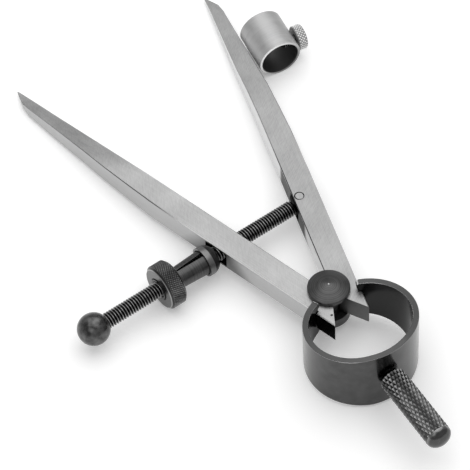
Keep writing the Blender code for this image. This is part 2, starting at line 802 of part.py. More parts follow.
def ancestors(piece):
    while piece.parent is not None:
        piece = piece.parent
        yield piece


def settle(frames):
    """Rest each frame's pieces on the ground and centre them all over the origin."""
    bpy.context.view_layer.update()
    points = {frame: corners_under(frame) for frame in frames}
    every = [point for group in points.values() for point in group]
    middle_x = (min(point.x for point in every) + max(point.x for point in every)) / 2
    middle_y = (min(point.y for point in every) + max(point.y for point in every)) / 2
    for frame, group in points.items():
        frame.location.x -= middle_x
        frame.location.y -= middle_y
        frame.location.z -= min(point.z for point in group)


clear_scene()
PARTS = make_collection("wing_divider")
CUTTERS = make_collection("cutters")
ground_steel = make_material("ground_steel", (0.55, 0.55, 0.54), 1.0, 0.38)
black_oxide = make_material("black_oxide_steel", (0.025, 0.025, 0.027), 0.9, 0.42)
black_screw = make_material("blackened_screw_steel", (0.018, 0.018, 0.019), 0.9, 0.34)
satin_steel = make_material("satin_nickel_steel", (0.50, 0.50, 0.49), 1.0, 0.34)
plated_steel = make_material("bright_plated_steel", (0.72, 0.72, 0.71), 1.0, 0.22)

tool_frame = add_frame("tool_frame", None, (0, 0, 0), Matrix.Rotation(-rest_tilt(), 3, "X"))
grip_frame = add_grip_frame(tool_frame)
screw_frame = add_screw_frame(tool_frame)
add_stud(black_oxide, tool_frame)
add_bow(black_oxide, tool_frame, grip_frame)
add_grip(black_screw, grip_frame)
add_rivet(black_oxide, grip_frame)

right_leg = add_leg(1, "right_leg", ground_steel, tool_frame)
cut_right_leg(right_leg)
left_leg = add_leg(-1, "left_leg", ground_steel, tool_frame)
cut_left_leg(left_leg)

add_pin(ground_steel, right_leg)
add_screw(black_screw, screw_frame)
add_ball(black_screw, screw_frame)
add_cup(black_screw, screw_frame)
add_nut_half(1, "split_nut_front", black_screw, screw_frame)
add_nut_half(-1, "split_nut_rear", black_screw, screw_frame)
add_wheel(black_screw, screw_frame)

ground_frame = add_frame("ground_frame", None, (0, 0, 0))
sleeve_frame, clamp_frame = add_sleeve_frames(ground_frame)
add_sleeve(satin_steel, sleeve_frame, clamp_frame)
add_clamp(black_screw, plated_steel, clamp_frame)
settle((tool_frame, ground_frame))
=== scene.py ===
"""Looks of the spring bow wing divider: threads, knurls, a spring in two arms, ground and blackened steel.

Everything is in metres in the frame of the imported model. The tool's own frame has the hub on its Z axis, the
middle of the legs' thickness at z = 0, +Y from the hub to the points and +X to the right leg.
"""
import json
import math

import bmesh
import bpy
from mathutils import Matrix, Vector


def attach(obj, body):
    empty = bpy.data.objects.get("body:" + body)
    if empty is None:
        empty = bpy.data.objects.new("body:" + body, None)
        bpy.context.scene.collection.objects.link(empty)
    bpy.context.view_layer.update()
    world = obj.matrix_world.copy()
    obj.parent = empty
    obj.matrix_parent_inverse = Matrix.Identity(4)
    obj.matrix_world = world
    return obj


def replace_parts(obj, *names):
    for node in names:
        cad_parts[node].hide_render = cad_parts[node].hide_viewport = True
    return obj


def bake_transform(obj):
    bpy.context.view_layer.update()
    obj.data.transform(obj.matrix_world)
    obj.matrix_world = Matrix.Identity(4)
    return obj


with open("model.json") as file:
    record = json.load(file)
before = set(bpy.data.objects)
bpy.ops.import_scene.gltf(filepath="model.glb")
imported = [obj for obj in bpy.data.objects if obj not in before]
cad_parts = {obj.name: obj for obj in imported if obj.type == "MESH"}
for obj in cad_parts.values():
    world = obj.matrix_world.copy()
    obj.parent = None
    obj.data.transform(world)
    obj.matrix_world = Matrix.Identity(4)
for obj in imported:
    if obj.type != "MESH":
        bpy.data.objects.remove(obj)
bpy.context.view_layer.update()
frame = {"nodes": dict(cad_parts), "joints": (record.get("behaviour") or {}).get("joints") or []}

MM = 0.001

# Sizes in metres that repeat those of the solids
LEG_SPREAD = math.radians(15.84)
LEG_OUTER = 0.0107
LEG_HALF = 0.0042
SCREW_RADIUS = 0.00295
EYE_RADIUS = 0.0034
BALL_PLACE = 0.0897
BOW_SHIFT = -0.0011
BOW_BACK = 0.0210
BOW_HALF_WIDTH = 0.02045
BOW_HALF_DEPTH = 0.01875
BOW_WALL = 0.00205
BOW_HEIGHT = 0.0260
BOW_END_HEIGHT = 0.0165
BOW_TAPER_START = math.radians(20)
BOW_EDGE = 0.00022
EAR_HALF_GAP = 0.0078
EAR_SLOT = 0.0096
EAR_CORNER = 0.0012
EAR_SLOT_CORNER = 0.0019
WEB_OUT = 0.0098
GRIP_LEAN = math.radians(2.07)
GRIP_SHIFT = -0.0018
GRIP_LENGTH = 0.0324
GRIP_RADIUS = 0.00475
GRIP_NECK_RADIUS = 0.0030
GRIP_NECK = 0.0009
GRIP_SHOULDER = 0.0005
GRIP_DOME = 0.0032
CUP_CONE = 0.0028
WHEEL_RADIUS = 0.0085
WHEEL_WIDTH = 0.0066
WHEEL_CHAMFER = 0.0010
WHEEL_BORE = 0.0043
SLEEVE_TURN = math.radians(7.1)
SLEEVE_RADIUS = 0.0083
SLEEVE_WALL = 0.0011
CLAMP_RADIUS = 0.0020
CLAMP_START = 0.0037
CLAMP_REACH = 0.0090
CLAMP_HEAD_RADIUS = 0.00495
CLAMP_HEAD_WIDTH = 0.0034
CLAMP_HEAD_CHAMFER = 0.0005

# Threads and knurls; the clamp head's knurl is drawn coarser than the real one, so that it shows
SCREW_PITCH = 0.00106
SCREW_DEPTH = 0.00056
CLAMP_PITCH = 0.0007
CLAMP_DEPTH = 0.00036
GRIP_KNURL_PITCH = 0.00145
GRIP_KNURL_DEPTH = 0.00042
WHEEL_KNURL_PITCH = 0.00095
WHEEL_KNURL_DEPTH = 0.00028
HEAD_KNURL_PITCH = 0.00130
HEAD_KNURL_DEPTH = 0.00046
SCREW_POINTS = 28
SCREW_LEAD = 0.0006
SCREW_CORE_START = 0.0026
SCREW_BALL_GAP = 0.0003
EYE_POINTS = 36
CLAMP_POINTS = 24
CLAMP_LEAD = 0.0004
CLAMP_INTO_HEAD = 0.0020
CLAMP_HEAD_BORE = 0.0023
CLAMP_HEAD_CENTRE = 0.0004
GRIP_CLEARANCE = 0.0003
GRIP_CHAMFER = 0.0002
GRIP_STRETCH = 2.3
GRIP_KNURL_STOP = 0.0006
DOME_ROWS = 9
WHEEL_STEP = 0.00012

# How smooth the meshes are: edges above an angle stay sharp, and nearer points are one
SHARP = math.radians(32)
KNURL_SHARP = math.radians(16)
SAME_PLACE = 1e-7
WELD_GAP = 1e-6
BAND_STATIONS = 60
CORNER_STATIONS = 7
SEAM = 0.003

# Marks and painted light and shade on the ground steel, and how far they reach. The grinding lines are coarser than
# the real ones, which are too fine to show.
GRIND_WIDTH = 0.00019
GRIND_LENGTH = 0.017
CROSS_WIDTH = 0.00029
CROSS_LENGTH = 0.0024
CROSS_LEAN = math.radians(43)
STEEL_CLOUD = 0.014
SCREW_ALONG = 0.0425
# Painted shadow and reflection of the screw on the legs' sides
SCREW_SHADOW_FULL = 0.0065
SCREW_SHADOW_END = 0.0145
# Where the painted light and shade on the broken edges changes along the leg
EDGE_SHADING_CHANGE_START = 0.058
EDGE_SHADING_CHANGE_END = 0.072
TAIL_START = 0.0030
TAIL_FULL = 0.0034
SLOT_SKIN = 0.0008
SLOT_START = 0.030
SLOT_END = 0.058


def columns(x_axis, y_axis, z_axis, place=(0, 0, 0)):
    """A 4x4 frame from its three axes and its origin."""
    turn = Matrix((x_axis, y_axis, z_axis)).transposed().to_4x4()
    return Matrix.Translation(place) @ turn


def joint(name):
    return next(each for each in frame["joints"] if each["name"] == name)


UP = Vector(joint("hub_pivot")["axis"]).normalized()
SIDE = Vector((1, 0, 0))
TOOL = columns(SIDE, UP.cross(SIDE), UP, joint("hub_pivot")["pos_m"])
TOOL_TURN = TOOL.to_3x3()
TO_BALL = Vector(joint("washer_travel")["axis"]).normalized()
SCREW = columns(UP, TO_BALL.cross(UP), TO_BALL, joint("screw_swivel")["pos_m"])
TO_GRIP = TOOL_TURN @ Vector((-math.sin(GRIP_LEAN), -math.cos(GRIP_LEAN), 0))
GRIP = columns(UP, TO_GRIP.cross(UP), TO_GRIP, TOOL @ Vector((GRIP_SHIFT, -BOW_BACK - BOW_HALF_DEPTH, 0)))
CLAMP_OUT = Vector(joint("clamp_spin")["axis"]).normalized()
BORE = Vector((math.sin(SLEEVE_TURN), math.cos(SLEEVE_TURN), 0))
CLAMP_FOOT = Vector(joint("clamp_spin")["pos_m"]) - CLAMP_REACH * CLAMP_OUT
CLAMP = columns(BORE, CLAMP_OUT.cross(BORE), CLAMP_OUT, CLAMP_FOOT)
SLEEVE = columns(BORE.cross(Vector((0, 0, 1))), Vector((0, 0, -1)), BORE, CLAMP_FOOT)


def leg_frame(side):
    """Frame of one leg: Y along it to the point, X outward to the right."""
    return TOOL @ Matrix.Rotation(-side * LEG_SPREAD, 4, "Z")


# ---------------------------------------------------------------- materials

MATH = "ShaderNodeMath"
MIX = "ShaderNodeMix"
RANGE = "ShaderNodeMapRange"
MAPPING = "ShaderNodeMapping"
BUMP = "ShaderNodeBump"
PARTS = "ShaderNodeSeparateXYZ"
SUM = {"operation": "ADD"}
PRODUCT = {"operation": "MULTIPLY"}
LARGER = {"operation": "MAXIMUM"}
UNSIGNED = {"operation": "ABSOLUTE"}
WEIGHTED = {"operation": "MULTIPLY_ADD"}
COLOURS = {"data_type": "RGBA"}
FILTER = {"data_type": "RGBA", "blend_type": "MULTIPLY"}


def linear(code):
    """An sRGB hex colour as linear RGBA."""
    parts = [int(code[k:k + 2], 16) / 255 for k in (1, 3, 5)]
    parts = [c / 12.92 if c <= 0.04045 else ((c + 0.055) / 1.055) ** 2.4 for c in parts]
    return (*parts, 1.0)


def join(tree, node, **inputs):
    """Sets a node's inputs, by name or by place as i0 and i1, from another node, a socket, a hex colour or a
    plain value."""
    for name, value in inputs.items():
        if name[1:].isdigit():
            socket = node.inputs[int(name[1:])]
        else:
            socket = next(each for each in node.inputs if each.enabled and each.name == name.replace("_", " "))
        if isinstance(value, bpy.types.Node):
            value = next(each for each in value.outputs if each.enabled)
        if isinstance(value, bpy.types.NodeSocket):
            tree.links.new(value, socket)
        else:
            socket.default_value = linear(value) if isinstance(value, str) else value


def add(tree, kind, settings=None, **inputs):
    """Adds a node with its own settings and its inputs."""
    node = tree.nodes.new(kind)
    for field, value in (settings or {}).items():
        setattr(node, field, value)
    join(tree, node, **inputs)
    return node


def start_material(name, place, metallic, roughness):
    """A Principled material, and the coordinates of the piece's own frame in metres."""
    material = bpy.data.materials.new(name)
    material.use_nodes = True
    tree = material.node_tree
    shader = tree.nodes["Principled BSDF"]
    join(tree, shader, Metallic=metallic, Roughness=roughness)
    coords = add(tree, "ShaderNodeTexCoord").outputs["Object"]
    if place is not None:
        back = place.inverted()
        coords = add(tree, MAPPING, Vector=coords, Location=back.translation, Rotation=back.to_euler())
    return material, tree, shader, coords


def grain(tree, coords, sizes, detail=3.0, roughness=0.5):
    """Uneven marks of the given sizes in metres: one size, or one for each axis."""
    if isinstance(sizes, float):
        sizes = (sizes, sizes, sizes)
    scaled = add(tree, MAPPING, Vector=coords, Scale=[1 / size for size in sizes])
    return add(tree, "ShaderNodeTexNoise", Vector=scaled, Scale=1.0, Detail=detail, Roughness=roughness)


def lay(tree, under, over, value, start=0.0, stop=1.0):
    """One tone laid over another, more and more as a value goes from start to stop."""
    share = add(tree, RANGE, Value=value, From_Min=start, From_Max=stop)
    return add(tree, MIX, COLOURS, Factor=share, A=under, B=over)


def band(tree, value, low, high, soft=0.03):
    """A mask that is 1 between two values."""
    rise = add(tree, RANGE, Value=value, From_Min=low - soft, From_Max=low + soft)
    fall = add(tree, RANGE, Value=value, From_Min=high + soft, From_Max=high - soft)
    return add(tree, MATH, PRODUCT, i0=rise, i1=fall)


def facing(tree, place, axis):
    """How far the surface faces one axis of a piece's own frame, from -1 to 1."""
    normal = add(tree, "ShaderNodeTexCoord").outputs["Normal"]
    direction = tuple((place.to_3x3() @ Vector(axis)).normalized())
    return add(tree, "ShaderNodeVectorMath", {"operation": "DOT_PRODUCT"}, i0=normal, i1=direction)


def from_axis(tree, coords):
    """Distance from the piece's own Z axis, and the height along it."""
    parts = add(tree, PARTS, Vector=coords)
    flat = add(tree, "ShaderNodeCombineXYZ", X=parts.outputs["X"], Y=parts.outputs["Y"])
    radius = add(tree, "ShaderNodeVectorMath", {"operation": "LENGTH"}, i0=flat)
    return radius, parts.outputs["Z"]


def ground_steel(name, place, side, tones, outer_side_shading, inner_side_shading, screw_shadow_reflection, cut_face_shade):
    """Ground tool steel: fine lines along and across the blade spread its reflections. The sides take painted light
    and shade by the way they face. The outer broken edge has a painted highlight by the hub and painted shade farther
    on, and the inner one painted shade by the hub. The sides carry a painted shadow and reflection of the screw where
    it comes through, and the sawn tail and the slots are painted dark as shade."""
    material, tree, shader, coords = start_material(name, place, 1.0, 0.4)
    lengthwise = grain(tree, coords, (GRIND_WIDTH, GRIND_LENGTH, GRIND_WIDTH), 4.0, 0.6)
    leaning = add(tree, MAPPING, Vector=coords, Rotation=(0, 0, CROSS_LEAN))
    cross = grain(tree, leaning, (CROSS_WIDTH, CROSS_LENGTH, CROSS_WIDTH), 3.0, 0.6)
    marks = add(tree, MATH, SUM, i0=lengthwise, i1=cross)
    tone = lay(tree, *tones, marks, 0.75, 1.25)
    cloud = lay(tree, "#e8e8e8", "#ffffff", grain(tree, coords, STEEL_CLOUD), 0.3, 0.75)
    tone = add(tree, MIX, FILTER, Factor=1.0, A=tone, B=cloud)

    # Sides: painted light and shade by the way each side faces, and a painted shadow and reflection of the screw
    # round it, reaching farther along the sides lower down
    outward = facing(tree, place, (side, 0, 0))
    across, along, up = add(tree, PARTS, Vector=coords).outputs
    outer_side = add(tree, RANGE, Value=outward, From_Min=0.8, From_Max=0.9)
    inner_side = add(tree, RANGE, Value=outward, From_Min=-0.8, From_Max=-0.9)
    tone = lay(tree, tone, outer_side_shading, outer_side)
    tone = lay(tree, tone, inner_side_shading, inner_side)
    past_screw = add(tree, MATH, SUM, i0=along, i1=-SCREW_ALONG)
    past_screw = add(tree, MATH, SUM, i0=add(tree, MATH, UNSIGNED, i0=past_screw), i1=up)
    screw_shadow_mask = add(tree, RANGE, Value=past_screw, From_Min=SCREW_SHADOW_END, From_Max=SCREW_SHADOW_FULL)
    sides = add(tree, MATH, SUM, i0=outer_side, i1=inner_side)
    tone = lay(tree, tone, screw_shadow_reflection, add(tree, MATH, PRODUCT, i0=screw_shadow_mask, i1=sides))

    # Broken edges: a painted highlight on the outer edge by the hub turning to painted shade farther on, and painted
    # shade on the inner edge by the hub
    edge = band(tree, facing(tree, place, (0, 0, 1)), 0.35, 0.94)
    outer = add(tree, MATH, PRODUCT, i0=edge, i1=add(tree, RANGE, Value=outward, From_Min=0.1, From_Max=0.3))
    inner = add(tree, MATH, PRODUCT, i0=edge, i1=add(tree, RANGE, Value=outward, From_Min=-0.1, From_Max=-0.3))
    tone = lay(tree, tone, lay(tree, "#ffffff", "#6e6e6e", along, EDGE_SHADING_CHANGE_START, EDGE_SHADING_CHANGE_END), outer)
    tone = lay(tree, tone, lay(tree, "#4c4c4c", "#a0a0a0", along, EDGE_SHADING_CHANGE_START, EDGE_SHADING_CHANGE_END), inner)

    # Painted shade on the sawn tail and inside the slots
    cut = add(tree, RANGE, Value=facing(tree, place, (-side, -1, 0)), From_Min=0.93, From_Max=0.97)
    behind = add(tree, RANGE, Value=along, From_Min=-TAIL_START, From_Max=-TAIL_FULL)
    cut = add(tree, MATH, LARGER, i0=cut, i1=add(tree, MATH, PRODUCT, i0=behind, i1=outer_side))
    tone = lay(tree, tone, cut_face_shade, cut)
    depth = add(tree, MATH, UNSIGNED, i0=up)
    inside = add(tree, RANGE, Value=depth, From_Min=LEG_HALF - 0.5 * MM, From_Max=LEG_HALF - 0.7 * MM)
    turned_away = add(tree, RANGE, Value=add(tree, MATH, UNSIGNED, i0=outward), From_Min=0.8, From_Max=0.6)
    between = band(tree, add(tree, MATH, UNSIGNED, i0=across), SLOT_SKIN, LEG_OUTER - SLOT_SKIN, 0.2 * MM)
    slot_shade = add(tree, MATH, LARGER, i0=turned_away, i1=between)
    slot_shade = add(tree, MATH, PRODUCT, i0=slot_shade, i1=inside)
    near = band(tree, along, SLOT_START, SLOT_END, MM)
    tone = lay(tree, tone, "#2a2a2a", add(tree, MATH, PRODUCT, i0=slot_shade, i1=near))
    # The cut faces' darker specular tint is painted shade too
    join(
        tree, shader, Base_Color=tone, Specular_Tint=lay(tree, "#ffffff", cut_face_shade, cut),
        Roughness=add(tree, RANGE, Value=marks, From_Min=0.7, From_Max=1.3, To_Min=0.36, To_Max=0.50),
        Normal=add(tree, BUMP, Height=marks, Strength=0.35, Distance=0.02 * MM),
    )
    return material


def turned_black(name, place, line=0.28 * MM, dark="#404040", light="#616161", rough=0.36, rim=None):
    """Blackened turned steel: fine rings round the turning axis catch the light, with a painted highlight at the
    centre; a rim that starts at a height along the axis is lighter."""
    material, tree, shader, coords = start_material(name, place, 1.0, rough)
    radius, height = from_axis(tree, coords)
    profile = add(tree, "ShaderNodeCombineXYZ", X=radius, Y=height)
    rings = grain(tree, profile, line, 2.0, 0.6)
    blotch = grain(tree, coords, 2.5 * MM)
    tone = lay(tree, dark, light, add(tree, MATH, WEIGHTED, i0=blotch, i1=0.35, i2=rings), 0.4, 0.95)
    if rim is not None:
        tone = lay(tree, tone, "#767676", height, rim - 0.05 * MM, rim + 0.05 * MM)
    # Painted highlight at the centre
    tone = lay(tree, tone, "#c8c8c8", radius, 0.4 * MM, 0.1 * MM)
    join(
        tree, shader, Base_Color=tone,
        Roughness=add(
            tree, RANGE, Value=blotch, From_Min=0.3, From_Max=0.7, To_Min=rough - 0.05, To_Max=rough + 0.08
        ),
        Normal=add(tree, BUMP, Height=rings, Strength=0.5, Distance=0.03 * MM),
    )
    return material


def black_spring(name, place):
    """Blackened spring steel, polished before blacking: glossy dark walls with painted shade on the inner wall, a
    greyer ground rim and a painted highlight along the broken edges."""
    material, tree, shader, coords = start_material(name, place, 1.0, 0.2)
    cloud = grain(tree, coords, 3.8 * MM, 4.0)
    tone = lay(tree, "#4a4a4a", "#555555", cloud, 0.3, 0.7)
    middle = (1 / (BOW_HALF_WIDTH - BOW_WALL / 2), 1 / (BOW_HALF_DEPTH - BOW_WALL / 2), 1)
    centred = add(tree, MAPPING, Vector=coords, Location=(-BOW_SHIFT, BOW_BACK, 0))
    share, _ = from_axis(tree, add(tree, MAPPING, Vector=centred, Scale=middle))
    # Painted shade on the inner wall of the loop, also as a darker specular tint
    inside = add(tree, RANGE, Value=share, From_Min=0.99, From_Max=0.96)
    tone = lay(tree, tone, "#3a3a3a", inside)
    top = add(tree, MATH, UNSIGNED, i0=facing(tree, place, (0, 0, 1)))
    rim = add(tree, RANGE, Value=top, From_Min=0.94, From_Max=0.97)
    tone = lay(tree, tone, "#505050", rim)
    # Painted highlight along the broken edges
    tone = lay(tree, tone, "#f4f4f4", band(tree, top, 0.4, 0.9))
    polish = add(tree, RANGE, Value=cloud, From_Min=0.3, From_Max=0.7, To_Min=0.16, To_Max=0.24)
    join(
        tree, shader, Base_Color=tone, Specular_Tint=lay(tree, "#ffffff", "#e4e4e4", inside),
        Roughness=add(tree, MATH, WEIGHTED, i0=rim, i1=0.14, i2=polish),
        Normal=add(tree, BUMP, Height=grain(tree, coords, 0.19 * MM, 2.0), Strength=0.08, Distance=0.01 * MM),
    )
    return material


def crest_wear_and_painted_light(
    name, place, crest, depth, tones=("#161616", "#4a4a4a", "#c8c8c8"), rough=0.3, metal=1.0, edge=None, eye=None
):
    """Steel whose crests are rubbed bright over dark grooves: the tone goes from dark through middle to light with
    the distance from the axis; on the nickel clamp head the dark grooves are painted shade. An edge at a distance
    from the axis gets a painted highlight as a thin bright line, with a greyer face inside it. An eye stays black up
    to its height along the axis."""
    dark, middle, light = tones
    material, tree, shader, coords = start_material(name, place, metal, rough)
    radius, along = from_axis(tree, coords)
    height = add(tree, RANGE, Value=radius, From_Min=crest - depth, From_Max=crest)
    wear_and_shade = add(tree, MATH, WEIGHTED, i0=grain(tree, coords, 1.1 * MM), i1=0.5, i2=height)
    tone = lay(tree, lay(tree, dark, middle, wear_and_shade, 0.25, 0.90), light, wear_and_shade, 0.90, 1.30)
    if eye is not None:
        tone = lay(tree, tone, "#202020", along, eye + 0.1 * MM, eye)
    if edge is not None:
        # Painted highlight on the edge as a thin bright line
        tone = lay(tree, tone, "#666666", radius, edge + 0.1 * MM, edge)
        tone = lay(tree, tone, "#b4b4b4", band(tree, radius, edge, edge + 0.2 * MM, 0.1 * MM))
    join(
        tree, shader, Base_Color=tone,
        Normal=add(tree, BUMP, Height=grain(tree, coords, 0.17 * MM, 2.0), Strength=0.15, Distance=0.01 * MM),
    )
    return material


def polished_black(name):
    """Blackened steel polished on the ball: soft reflections over a cloudy worn blacking."""
    material, tree, shader, coords = start_material(name, None, 1.0, 0.24)
    cloud = grain(tree, coords, 2.4 * MM, 4.0)
    join(
        tree, shader, Base_Color=lay(tree, "#414141", "#6a6a6a", cloud, 0.35, 0.7),
        Roughness=add(tree, RANGE, Value=cloud, From_Min=0.3, From_Max=0.7, To_Min=0.20, To_Max=0.34),
        Normal=add(tree, BUMP, Height=grain(tree, coords, 0.4 * MM), Strength=0.1, Distance=0.01 * MM),
    )
    return material


def satin_tube(name, place):
    """Satin nickel over a turned tube: fine rings from the lathe round a soft grey wall, a painted highlight on the
    upper left of the rims fading to painted shade at the lower right, and painted shade in the bore."""
    material, tree, shader, coords = start_material(name, place, 1.0, 0.4)
    radius, _ = from_axis(tree, coords)
    rings = grain(tree, coords, (17 * MM, 17 * MM, 0.11 * MM))
    cloud = grain(tree, coords, 3.3 * MM)
    tone = lay(tree, "#b6b6b6", "#c4c4c4", rings, 0.3, 0.7)
    tone = add(tree, MIX, FILTER, Factor=1.0, A=tone, B=lay(tree, "#eeeeee", "#ffffff", cloud, 0.3, 0.7))
    # Painted highlight on the upper left of the end rims, fading to painted shade at the lower right
    right, down, _ = add(tree, PARTS, Vector=coords).outputs
    low_right = add(tree, MATH, SUM, i0=right, i1=down)
    rim = lay(tree, "#ffffff", "#dadada", low_right, -11 * MM, -3.3 * MM)
    rim = lay(tree, rim, "#7c7c7c", low_right, -3.3 * MM, 11 * MM)
    endward = add(tree, MATH, UNSIGNED, i0=facing(tree, place, (0, 0, 1)))
    tone = lay(tree, tone, rim, endward, 0.4, 0.6)
    # Painted shade in the bore
    inner = SLEEVE_RADIUS - SLEEVE_WALL
    tone = lay(tree, tone, "#5c5c5c", radius, inner + 0.3 * MM, inner + 0.1 * MM)
    join(
        tree, shader, Base_Color=tone,
        Roughness=add(tree, RANGE, Value=cloud, From_Min=0.3, From_Max=0.7, To_Min=0.5, To_Max=0.6),
        Normal=add(tree, BUMP, Height=rings, Strength=0.2, Distance=0.01 * MM),
    )
    return material


# ---------------------------------------------------------------- meshes


def finish_mesh(name, shape, place, material, sharp=SHARP):
    """Turns a draft in its own frame into a smooth shaded piece in the frame of the model."""
    bmesh.ops.remove_doubles(shape, verts=shape.verts, dist=SAME_PLACE)
    bmesh.ops.recalc_face_normals(shape, faces=shape.faces)
    bmesh.ops.transform(shape, matrix=place, verts=shape.verts)
    mesh = bpy.data.meshes.new(name)
    shape.to_mesh(mesh)
    shape.free()
    mesh.shade_smooth()
    mesh.set_sharp_from_angle(angle=sharp)
    piece = bpy.data.objects.new(name, mesh)
    bpy.context.scene.collection.objects.link(piece)
    piece.data.materials.append(material)
    return piece


def turned_knurled(name, rows, points, place, material, closed=False):
    """A turned piece as rings of (radius, height, knurl). A knurled row has every second point cut in, so
    that two rows make a line of small pyramids; the odd and even rows are cut at different points."""
    shape = bmesh.new()
    rings = []
    for number, (radius, height, depth) in enumerate(rows):
        ring = []
        for k in range(points):
            low = depth if (k + number) % 2 else 0.0
            angle = math.tau * k / points
            out = radius - low
            ring.append(shape.verts.new((out * math.cos(angle), out * math.sin(angle), height)))
        rings.append(ring)
    pairs = list(zip(rings, rings[1:], rows, rows[1:], range(len(rows))))
    for ring, following, row, after, number in pairs:
        for k in range(points):
            n = (k + 1) % points
            corners = (ring[k], ring[n], following[n], following[k])
            if row[2] or after[2]:
                if (k + number) % 2:
                    shape.faces.new((corners[0], corners[1], corners[2]))
                    shape.faces.new((corners[0], corners[2], corners[3]))
                else:
                    shape.faces.new((corners[0], corners[1], corners[3]))
                    shape.faces.new((corners[1], corners[2], corners[3]))
            else:
                shape.faces.new(corners)
    if closed:
        for k in range(points):
            n = (k + 1) % points
            shape.faces.new((rings[-1][k], rings[-1][n], rings[0][n], rings[0][k]))
    else:
        for ring in (rings[0], rings[-1]):
            shape.faces.new(ring)
    return finish_mesh(name, shape, place, material, KNURL_SHARP)


def knurl_rows(radius, low, high, pitch, depth, stretch=1.0):
    """Rows of a knurled band between two heights, with diamonds stretched along the axis."""
    count = max(2, round((high - low) / (pitch * stretch / 2)))
    return [(radius, low + (high - low) * k / count, depth) for k in range(count + 1)]


def thread_shape(radius, depth, pitch, low, high, points, lead):
    """A right-hand V thread with rounded crests between two heights; the ends are cut back over a lead."""
    profile = ((0.0, 1.0), (0.16, 0.93), (0.42, 0.07), (0.5, 0.0), (0.58, 0.07), (0.84, 0.93))
    turns = math.ceil((high - low) / pitch) + 1
    shape = bmesh.new()
    grid = []
    for turn in range(-1, turns):
        for share, cut in profile:
            row = []
            for k in range(points + 1):
                height = low + (turn + share + k / points) * pitch
                height = min(max(height, low), high)
                ends = min(height - low, high - height)
                reach = radius - depth * cut
                reach = min(reach, radius - depth * max(0.0, 1 - ends / lead))
                angle = math.tau * k / points
                row.append((reach * math.cos(angle), reach * math.sin(angle), height))
            grid.append(row)
    verts = [[shape.verts.new(place) for place in row[:-1]] for row in grid]
    step = len(profile)
    for number in range(len(grid) - 1):
        for k in range(points):
            if k < points - 1:
                corners = (verts[number][k], verts[number][k + 1], verts[number + 1][k + 1], verts[number + 1][k])
            else:
                if number + 1 + step >= len(grid):
                    continue
                corners = (
                    verts[number][k], verts[number + step][0], verts[number + 1 + step][0], verts[number + 1][k]
                )
            shape.faces.new(corners)
    bmesh.ops.remove_doubles(shape, verts=shape.verts, dist=SAME_PLACE)
    bmesh.ops.dissolve_degenerate(shape, dist=1e-8, edges=shape.edges)
    bmesh.ops.delete(shape, geom=[v for v in shape.verts if not v.link_faces], context="VERTS")
    bmesh.ops.holes_fill(shape, edges=[e for e in shape.edges if e.is_boundary], sides=0)
    return shape


def add_rod(shape, radius, low, high, points, turn=None):
    """A plain rod along local Z, turned by a matrix where one is given."""
    made = bmesh.ops.create_cone(
        shape, cap_ends=True, segments=points, radius1=radius, radius2=radius, depth=high - low
    )["verts"]
    bmesh.ops.translate(shape, verts=made, vec=(0, 0, (low + high) / 2))
    if turn is not None:
        bmesh.ops.rotate(shape, verts=made, matrix=turn)


def bow_point(angle):
    half_width = BOW_HALF_WIDTH - BOW_WALL / 2
    half_depth = BOW_HALF_DEPTH - BOW_WALL / 2
    return Vector((BOW_SHIFT + half_width * math.sin(angle), half_depth * math.cos(angle) - BOW_BACK, 0))


def web_end(side):
    """Angle at which the wall stands in the groove of one leg, found by halving."""
    outward = Vector((side * math.cos(LEG_SPREAD), -math.sin(LEG_SPREAD), 0))
    near, far = 0.0, math.pi / 2
    for _ in range(40):
        middle = (near + far) / 2
        if bow_point(side * middle).dot(outward) < WEB_OUT:
            near = middle
        else:
            far = middle
    return far


def ear_end(side):
    return math.asin((EAR_HALF_GAP - side * BOW_SHIFT) / (BOW_HALF_WIDTH - BOW_WALL / 2))


def bow_half_height(angle):
    """Half the band's height: full round the back, then narrowing evenly to the ears."""
    share = max(abs(angle - math.pi) - BOW_TAPER_START, 0) / (math.pi - ear_end(1) - BOW_TAPER_START)
    return (BOW_HEIGHT + (BOW_END_HEIGHT - BOW_HEIGHT) * share) / 2


def corner_drop(away, radius):
    """How far a rounded corner cuts in at a distance from the end."""
    if away >= radius:
        return 0.0
    return radius - math.sqrt(max(radius ** 2 - (radius - max(away, 0)) ** 2, 0))


